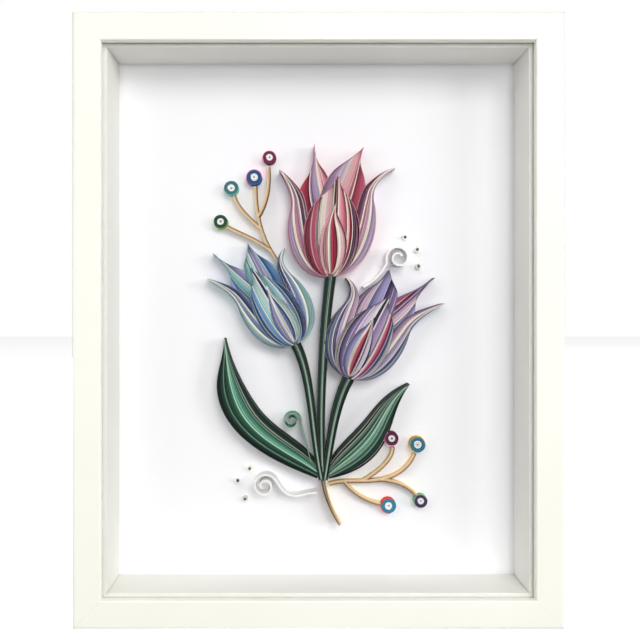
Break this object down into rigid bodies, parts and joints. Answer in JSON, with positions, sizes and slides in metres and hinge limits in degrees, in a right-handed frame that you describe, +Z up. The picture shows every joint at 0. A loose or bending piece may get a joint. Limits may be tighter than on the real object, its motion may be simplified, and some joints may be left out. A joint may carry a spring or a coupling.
{
  "type": "quilled paper art in a box frame",
  "caption": "White deep box frame holding a quilled paper bouquet, with tulips, leaves, berry sprigs and scrolls standing on a white card behind glazing.",
  "frame": {"origin": "middle of the frame's base, at the bottom centre of the bounding box", "axes": "+Z up the picture, -Y out of its front towards the viewer, +X to the viewer's right"},
  "size_m": [0.301, 0.046, 0.3772],
  "materials": {
    "frame_lacquer": "off-white satin lacquer on a smooth wooden moulding",
    "spacer_lacquer": "off-white matt lacquer on flat wooden strips",
    "clear_glazing": "clear low-reflection picture glazing",
    "white_card": "smooth white mounting card with a cool tint",
    "hardboard": "brown hardboard, bare",
    "steel_points": "bright steel",
    "brassed_steel": "brassed pressed steel",
    "rose_paper": "dyed quilling paper, matt, pale along the cut edge",
    "pale_rose_paper": "dyed quilling paper, matt, pale along the cut edge",
    "burgundy_paper": "dyed quilling paper, matt, pale along the cut edge",
    "lilac_paper": "dyed quilling paper, matt, pale along the cut edge",
    "violet_paper": "dyed quilling paper, matt, pale along the cut edge",
    "blue_paper": "dyed quilling paper, matt, pale along the cut edge",
    "aqua_paper": "dyed quilling paper, matt, pale along the cut edge",
    "indigo_paper": "dyed quilling paper, matt, pale along the cut edge",
    "dark_green_paper": "dyed quilling paper, matt",
    "green_paper": "dyed quilling paper, matt",
    "mint_paper": "dyed quilling paper, matt",
    "golden_paper": "golden tan quilling paper, matt",
    "ivory_paper": "ivory quilling paper, matt",
    "teal_paper": "tight coils in rings of teal, white and other colours",
    "plum_paper": "tight coils in rings of plum, white and other colours"
  },
  "bodies": {
    "root": {"frame_top_rail": "frame_lacquer", "frame_bottom_rail": "frame_lacquer", "frame_left_stile": "frame_lacquer", "frame_right_stile": "frame_lacquer", "spacer_top": "spacer_lacquer", "spacer_bottom": "spacer_lacquer", "spacer_left": "spacer_lacquer", "spacer_right": "spacer_lacquer", "glazing": "clear_glazing", "backing_card": "white_card", "back_board": "hardboard", "framers_points": "steel_points", "sawtooth_hanger": "brassed_steel", "hanger_nails": "steel_points", "rose_front_petal": "rose_paper", "rose_left_petal": "pale_rose_paper", "rose_right_petal": "burgundy_paper", "rose_back_left_petal": "lilac_paper", "rose_back_right_petal": "pale_rose_paper", "blue_front_petal": "blue_paper", "blue_left_petal": "aqua_paper", "blue_right_petal": "indigo_paper", "blue_back_left_petal": "aqua_paper", "blue_back_right_petal": "lilac_paper", "violet_front_petal": "violet_paper", "violet_left_petal": "lilac_paper", "violet_right_petal": "violet_paper", "violet_back_left_petal": "rose_paper", "violet_back_right_petal": "lilac_paper", "rose_stem": "dark_green_paper", "blue_stem": "dark_green_paper", "violet_stem": "dark_green_paper", "stem_tail": "golden_paper", "left_leaf": "green_paper", "right_leaf": "green_paper", "tendril": "mint_paper", "lower_sprig": "golden_paper", "upper_sprig": "golden_paper", "right_scroll": "ivory_paper", "left_scroll": "ivory_paper", "right_dots": "ivory_paper", "left_dots": "ivory_paper", "berry_1": "plum_paper", "berry_2": "teal_paper", "berry_3": "plum_paper", "berry_4": "teal_paper", "berry_5": "plum_paper", "berry_6": "teal_paper", "berry_7": "plum_paper", "berry_8": "teal_paper"}
  },
  "joints": []
}
